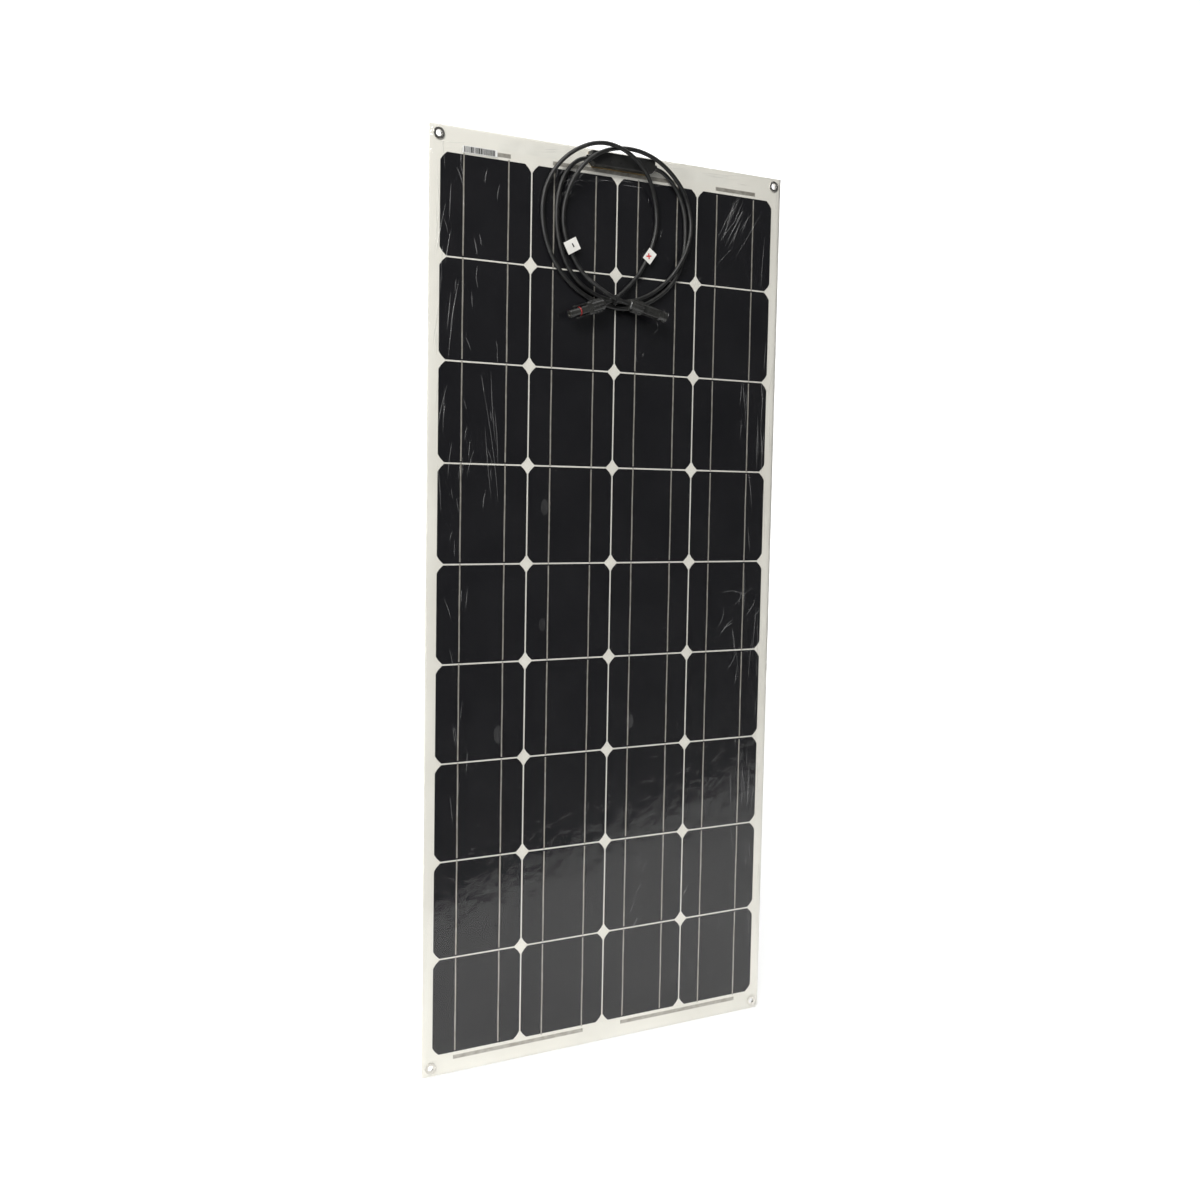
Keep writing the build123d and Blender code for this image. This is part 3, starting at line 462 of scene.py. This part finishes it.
def face_ribbons(name, rows, material):
    """The flat strands on the cells' faces, each running into the gap that it crosses."""
    points, faces = [], []
    for row in rows:
        for column, column_x in enumerate(COLUMN_X):
            goes_up = column % 2 == 0
            near, far = CELL / 2 + RIBBON_OVERRUN, -CELL / 2 + RIBBON_STOP
            if not goes_up:
                near, far = -near, -far
            for x in (column_x - RIBBON_OFFSET, column_x + RIBBON_OFFSET):
                start = len(points)
                levels = steps(min(near, far), max(near, far), RIBBON_STEP)
                for z in levels:
                    drift = RIBBON_DRIFT * math.sin(0.07 * (ROW_Z[row] + z) + x)
                    for side, lift in ((-1, RIBBON_TOP), (1, RIBBON_TOP), (1, CELL_TOP), (-1, CELL_TOP)):
                        place = x + drift + side * RIBBON_WIDTH / 2
                        points.append(at(place, ROW_Z[row] + z, lift))
                close_strip(faces, start, levels)
    return add_mesh(name, points, faces, [material])


TINNED = ribbon_material()
for half, rows in HALF_ROWS.items():
    ribbons = face_ribbons(f"face_ribbons_{half}", rows, TINNED)
    bend_with_sheet(ribbons, half, "tinned_ribbon", "tabbing_ribbons")


# ---- Clear front film and the wrinkled protective film -------------------------------------------
FILM_REFLECTION = 0.022
GLANCING_REFLECTION = 0.9
GLANCING_POWER = 5.0
RIM_FLAT = 22.0
RIM_FADE = 30.0
CREASE_HEIGHT = 0.28
CREASE_LIFT = 0.02
CREASE_PARTS = 5
BUBBLE_LIFT = 0.04
BUBBLE_POINTS = 20
SHEET_RIM = 3.0
HALF_RIM = 2.0


def clear_film(name, roughness, haze, waviness, wave_scale):
    """Clear skin: reflects as the angle says, lets the rest through, with a trace of haze."""
    shader = Shader(name)
    where = shader.place(True)
    waves = shader.noise(where, wave_scale, 2.0)
    normal = shader.bump(waves, 1.0, waviness)
    facing = shader.node("LayerWeight", Blend=0.5, Normal=normal).outputs["Facing"]
    glancing = shader.node("Math", {"operation": "POWER"}, **{"0": facing, "1": GLANCING_POWER}).outputs[0]
    reflected = shader.remap(glancing, 0.0, 1.0, FILM_REFLECTION, GLANCING_REFLECTION)
    gloss = shader.node("BsdfGlossy", Color=rgb(1, 1, 1), Roughness=roughness, Normal=normal).outputs[0]
    through = shader.node("BsdfTransparent", Color=rgb(0.985, 0.985, 0.98)).outputs[0]
    milk = shader.node("BsdfDiffuse", Color=rgb(0.8, 0.8, 0.8)).outputs[0]
    patches = shader.remap(shader.noise(where, 14.0, 4.0), 0.35, 0.75, haze * 0.4, haze * 1.6)
    body = shader.node("MixShader", Fac=patches)
    shader.set(body, "1", through)
    shader.set(body, "2", milk)
    top = shader.node("MixShader", Fac=reflected)
    shader.set(top, "1", body.outputs[0])
    shader.set(top, "2", gloss)
    return shader.finish(top.outputs[0])


CLEAR = clear_film("front_film", 0.10, 0.001, 0.0006, 30.0)
PEEL = clear_film("peel_film", 0.07, 0.003, 0.0012, 45.0)
CREASE = clear_film("peel_film_crease", 0.16, 0.12, 0.0008, 300.0)
BUBBLE = clear_film("peel_film_bubble", 0.20, 0.035, 0.0004, 200.0)


def slack(x, z):
    """How far the loose film stands off the sheet: nothing at its rim, a soft cockle elsewhere."""
    rim = min(HALF_WIDTH - abs(x), HALF_LENGTH - abs(z))
    fade = min(1.0, max(0.0, (rim - RIM_FLAT) / RIM_FADE))
    long_wave = noise.noise(Vector((x * 0.012, z * 0.006, 3.1)))
    short_wave = noise.noise(Vector((x * 0.05, z * 0.02, 7.7)))
    return fade * max(0.0, 0.12 + 0.14 * long_wave + 0.07 * short_wave)


def crease_strokes(rng, count, x_range, z_range, angle, spread, length, width, curl):
    """Strokes within a patch, each a list of (x, z) points and a width."""
    strokes = []
    for _ in range(count):
        x, z = rng.uniform(*x_range), rng.uniform(*z_range)
        heading = math.radians(angle + rng.uniform(-spread, spread))
        turn = math.radians(rng.uniform(-curl, curl))
        reach = rng.uniform(0.4, 1.0) * length
        line = [(x, z)]
        for _ in range(CREASE_PARTS):
            heading += turn / CREASE_PARTS
            x += math.cos(heading) * reach / CREASE_PARTS
            z += math.sin(heading) * reach / CREASE_PARTS
            line.append((x, z))
        if all(abs(px) < HALF_WIDTH - SHEET_RIM and abs(pz) < HALF_LENGTH - SHEET_RIM for px, pz in line):
            strokes.append((line, rng.uniform(0.5, 1.0) * width))
    return strokes


# Count, range of x, range of z, angle, its spread, length, width, curl
CREASE_PATCHES = [
    (26, (-262, -238), (120, 585), 88, 7, 70, 1.5, 8),
    (26, (-246, -165), (60, 570), 100, 14, 26, 1.6, 30),
    (16, (-236, -205), (-330, 200), 90, 10, 34, 1.2, 20),
    (9, (160, 200), (470, 510), 56, 12, 80, 0.9, 12),
    (6, (175, 205), (500, 535), 60, 10, 45, 1.2, 10),
    (44, (205, 262), (-420, 300), 90, 6, 60, 1.3, 10),
    (18, (236, 262), (-560, 560), 90, 4, 90, 1.0, 6),
    (30, (20, 235), (-560, -330), 62, 16, 24, 1.1, 20),
    (20, (-112, -58), (530, 564), 35, 24, 26, 1.9, 80),
    (4, (-185, -165), (130, 300), 95, 5, 150, 1.4, 8),
    (8, (-50, 60), (556, 572), 5, 14, 40, 1.4, 20),
    (10, (170, 240), (-110, 20), 40, 30, 46, 1.4, 80),
    (12, (30, 130), (300, 560), 75, 30, 14, 1.4, 40),
    (18, (-260, 260), (579, 596), 4, 8, 40, 1.0, 8),
]


def all_strokes():
    """Every crease of the film. The patches share one run of random numbers."""
    rng = random.Random(12)
    strokes = []
    for patch in CREASE_PATCHES:
        strokes += crease_strokes(rng, *patch)
    return strokes


# Air caught under the film: x, z, radius
BUBBLES = [(-102, 134.5, 7.0), (-103, -19.5, 6.0), (-165, -160.5, 8.0), (35, -156.5, 7.0)]


def add_creases(half, low_z, high_z):
    """Low ridges where the protective film is creased, and flat spots where air is caught under it."""
    points, faces, slots = [], [], []
    for line, width in all_strokes():
        if not all(low_z + HALF_RIM < z < high_z - HALF_RIM for _, z in line):
            continue
        start = len(points)
        for index, (x, z) in enumerate(line):
            before = line[max(index - 1, 0)]
            after = line[min(index + 1, len(line) - 1)]
            along = Vector((after[0] - before[0], after[1] - before[1])).normalized()
            taper = math.sin(math.pi * (index + 0.3) / (len(line) - 0.4))
            aside = Vector((-along.y, along.x)) * width / 2 * taper
            ground = PEEL_TOP + slack(x, z) + CREASE_LIFT
            points.append(at(x + aside.x, z + aside.y, ground))
            points.append(at(x, z, ground + CREASE_HEIGHT * taper))
            points.append(at(x - aside.x, z - aside.y, ground))
        for index in range(len(line) - 1):
            first = start + index * 3
            faces.append((first, first + 1, first + 4, first + 3))
            faces.append((first + 1, first + 2, first + 5, first + 4))
            slots += [0, 0]
    for x, z, radius in BUBBLES:
        if low_z < z < high_z:
            start = len(points)
            for step in range(BUBBLE_POINTS):
                angle = 2 * math.pi * step / BUBBLE_POINTS
                px, pz = x + radius * 0.8 * math.cos(angle), z + radius * 1.5 * math.sin(angle)
                points.append(at(px, pz, PEEL_TOP + slack(px, pz) + BUBBLE_LIFT))
            faces.append(tuple(range(start, start + BUBBLE_POINTS)))
            slots.append(1)
    creases = add_mesh(f"film_creases_{half}", points, faces, [CREASE, BUBBLE], slots)
    bend_with_sheet(creases, half, "peel_film")


for half, (low_z, high_z, *_) in HALVES.items():
    ends = (low_z, high_z)
    film = sheet_layer(f"front_film_{half}", *ends, BACKING_TOP, FILM_TOP, SHEET_STEP, [CLEAR], None, True)
    bend_with_sheet(film, half, "front_film", "front_film", "front_encapsulant")
    peel = sheet_layer(f"peel_film_{half}", *ends, PEEL_BOTTOM, PEEL_TOP, PEEL_STEP, [PEEL], slack, True)
    bend_with_sheet(peel, half, "peel_film", "peel_film")
    add_creases(half, low_z, high_z)


# ---- Serial label: plain bars of uneven width ----------------------------------------------------
LABEL_LEFT = -222.0
LABEL_RIGHT = -179.0
LABEL_LOW = 570.9
LABEL_HIGH = 578.1
LABEL_LIFT = PEEL_TOP + 0.10


def label_bars():
    rng = random.Random(5)
    points, faces = [], []
    x = LABEL_LEFT
    while x < LABEL_RIGHT:
        width = rng.choice((0.6, 0.9, 1.3, 1.9))
        start = len(points)
        for px, pz in ((x, LABEL_LOW), (x + width, LABEL_LOW), (x + width, LABEL_HIGH), (x, LABEL_HIGH)):
            points.append(at(px, pz, LABEL_LIFT))
        faces.append((start, start + 1, start + 2, start + 3))
        x += width + rng.choice((0.4, 0.5, 0.8))
    ink = moulded("label_ink", rgb(0.010, 0.010, 0.010), rgb(0.022, 0.022, 0.022), 0.5)
    bars = add_mesh("label_bars", points, faces, [ink])
    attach(bars, "top")


label_bars()


# ---- Marks on the two tags -----------------------------------------------------------------------
TAG_FACE = 9.54


def tag_mark(name, centre, angle, bars, material):
    """Short bars on a tag's face: one for minus, two crossed for plus."""
    points, faces = [], []
    for length, width, turn in bars:
        direction = math.radians(angle + turn)
        along = Vector((math.cos(direction), math.sin(direction))) * length / 2
        aside = Vector((-math.sin(direction), math.cos(direction))) * width / 2
        start = len(points)
        for corner in (-along - aside, along - aside * 0.7, along + aside, -along + aside * 0.8):
            points.append(at(centre[0] + corner.x, centre[1] + corner.y, TAG_FACE + 0.01 * turn / 90))
        faces.append((start, start + 1, start + 2, start + 3))
    mark = add_mesh(name, points, faces, [material])
    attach(mark, "top")


BLACK_INK = moulded("black_ink", rgb(0.012, 0.012, 0.012), rgb(0.03, 0.03, 0.03), 0.5)
RED_INK = moulded("red_ink", rgb(0.55, 0.025, 0.02), rgb(0.68, 0.05, 0.04), 0.5)
tag_mark("minus_mark", (-69.6, 472.6), 119.0, [(5.4, 2.2, 0.0)], BLACK_INK)
tag_mark("plus_mark", (46.2, 470.4), 5.0, [(8.0, 2.1, 0.0), (7.6, 2.1, 90.0)], RED_INK)


# ---- Materials of the CAD pieces that stay -------------------------------------------------------
def dress(material, *names):
    """Gives the named CAD pieces a material."""
    for name in names:
        for slot in nodes[name].material_slots:
            slot.material = material


BOX_BLACK = moulded("box_plastic", rgb(0.010, 0.010, 0.010), rgb(0.018, 0.018, 0.017), 0.42, 1100.0, 0.25)
CONNECTOR_BLACK = moulded(
    "connector_plastic", rgb(0.016, 0.016, 0.015), rgb(0.032, 0.032, 0.030), 0.28, 900.0, 0.2
)
BLACK_RUBBER = moulded("black_rubber", rgb(0.010, 0.010, 0.010), rgb(0.02, 0.02, 0.02), 0.62)
AMBER = moulded("amber_sealant", rgb(0.16, 0.11, 0.05), rgb(0.30, 0.22, 0.11), 0.30, 260.0, 0.5, coat=0.3)
NICKEL = moulded("nickel", rgb(0.55, 0.53, 0.49), rgb(0.70, 0.68, 0.63), 0.28, 500.0, 0.1, metallic=1.0)
CONTACT = moulded(
    "contact_metal", rgb(0.60, 0.58, 0.52), rgb(0.72, 0.70, 0.64), 0.30, 500.0, 0.1, metallic=1.0
)
PAPER = moulded("label_paper", rgb(0.74, 0.74, 0.72), rgb(0.82, 0.82, 0.80), 0.55, 800.0, 0.1)
TAG_WHITE = moulded("tag_film", rgb(0.74, 0.73, 0.69), rgb(0.83, 0.82, 0.78), 0.35, 300.0, 0.3)
RED_RUBBER = moulded("red_rubber", rgb(0.15, 0.008, 0.007), rgb(0.26, 0.014, 0.013), 0.42)
INSULATION = moulded("insulation", rgb(0.78, 0.77, 0.72), rgb(0.84, 0.83, 0.78), 0.5)
TIE_BLACK = moulded("tie_plastic", rgb(0.008, 0.008, 0.008), rgb(0.016, 0.016, 0.016), 0.40)

dress(
    BOX_BLACK, "junction_box_base", "junction_box_lid", "cable_collar_left", "cable_collar_right",
    "bypass_diodes",
)
dress(BLACK_RUBBER, "junction_box_gasket", "pin_cable_seal", "socket_cable_seal")
dress(AMBER, "junction_box_sealant")
dress(NICKEL, "eyelets_top", "eyelets_bottom", "eyelet_washers_top", "eyelet_washers_bottom")
dress(TINNED, "top_link_ribbons", "bottom_link_ribbons", "output_leads", "terminal_rails")
dress(INSULATION, "insulation_strip")
dress(PAPER, "serial_label")
dress(TAG_WHITE, "tag_positive", "tag_negative")
dress(TIE_BLACK, "coil_tie")
dress(
    CONNECTOR_BLACK, "pin_cap_nut", "pin_housing", "socket_cap_nut", "socket_housing",
    "latch_finger_upper", "latch_finger_lower",
)
dress(CONTACT, "pin_contact", "socket_contact")
dress(RED_RUBBER, "socket_o_ring")


# ---- Floor, backdrop and light -------------------------------------------------------------------
TONE = rgb(0.80, 0.80, 0.80)
OTHER_TONE = rgb(0.80 * 0.97, 0.80 * 0.97, 0.80 * 0.96)


def plain_surface(name, corners, glow):
    """A pale face of the set, hardly mottled, that glows a little so that it fades into the white."""
    shader = Shader(name)
    colour = shader.blend_colours(shader.noise(shader.place(False), 2.0), TONE, OTHER_TONE)
    principled = shader.node("BsdfPrincipled", Base_Color=colour, Roughness=0.8)
    shader.set(principled, "Emission Color", rgb(1.0, 1.0, 1.0))
    shader.set(principled, "Emission Strength", glow)
    made = add_mesh(name, corners, [(0, 1, 2, 3)], [shader.finish(principled.outputs[0])])


FLOOR_Z = -0.604
FLOOR_NEAR = 1.28
FLOOR_FAR = 5.5
BACKDROP_AT = 5.4
BACKDROP_HEIGHT = 5
SIDE = 4
ALONG_VIEW = Vector((0.505, 0.863, 0.0))
ACROSS_VIEW = Vector((0.863, -0.505, 0.0))
EYE_ON_FLOOR = Vector((-0.9368, -1.5757, FLOOR_Z))


def on_floor(along, across, height=0.0):
    """A place on or above the floor, seen from the camera's foot."""
    return EYE_ON_FLOOR + ALONG_VIEW * along + ACROSS_VIEW * across + Vector((0, 0, height))


floor_near = [on_floor(FLOOR_NEAR, -SIDE), on_floor(FLOOR_NEAR, SIDE)]
floor_far = [on_floor(FLOOR_FAR, SIDE), on_floor(FLOOR_FAR, -SIDE)]
plain_surface("floor", floor_near + floor_far, 0.35)
backdrop_foot = [on_floor(BACKDROP_AT, -SIDE), on_floor(BACKDROP_AT, SIDE)]
backdrop_head = [on_floor(BACKDROP_AT, SIDE, BACKDROP_HEIGHT), on_floor(BACKDROP_AT, -SIDE, BACKDROP_HEIGHT)]
plain_surface("backdrop", backdrop_foot + backdrop_head, 0.55)


def area_light(name, place, target, size, power, tint=(1.0, 1.0, 1.0)):
    """A square soft light that faces a target."""
    data = bpy.data.lights.new(name, "AREA")
    data.shape = "SQUARE"
    data.size = size
    data.energy = power
    data.color = tint
    light = bpy.data.objects.new(name, data)
    light.location = place
    light.rotation_euler = (Vector(target) - Vector(place)).to_track_quat("-Z", "Y").to_euler()
    bpy.context.collection.objects.link(light)


area_light("key", (-2.2, -2.0, 2.2), (0, 0, 0.1), 1.6, 145.0, (1.0, 0.985, 0.96))
area_light("fill", (-2.6, -0.9, -0.1), (0, 0, 0), 1.6, 40.0, (0.96, 0.98, 1.0))
area_light("overhead", (0.3, 0.6, 2.9), (0.3, 0.9, 0), 2.5, 60.0)


def add_world():
    world = bpy.data.worlds.new("studio")
    world.use_nodes = True
    background = world.node_tree.nodes["Background"]
    background.inputs["Color"].default_value = rgb(0.95, 0.97, 1.0)
    background.inputs["Strength"].default_value = 0.10
    bpy.context.scene.world = world


add_world()
bpy.context.scene.view_settings.view_transform = "Standard"
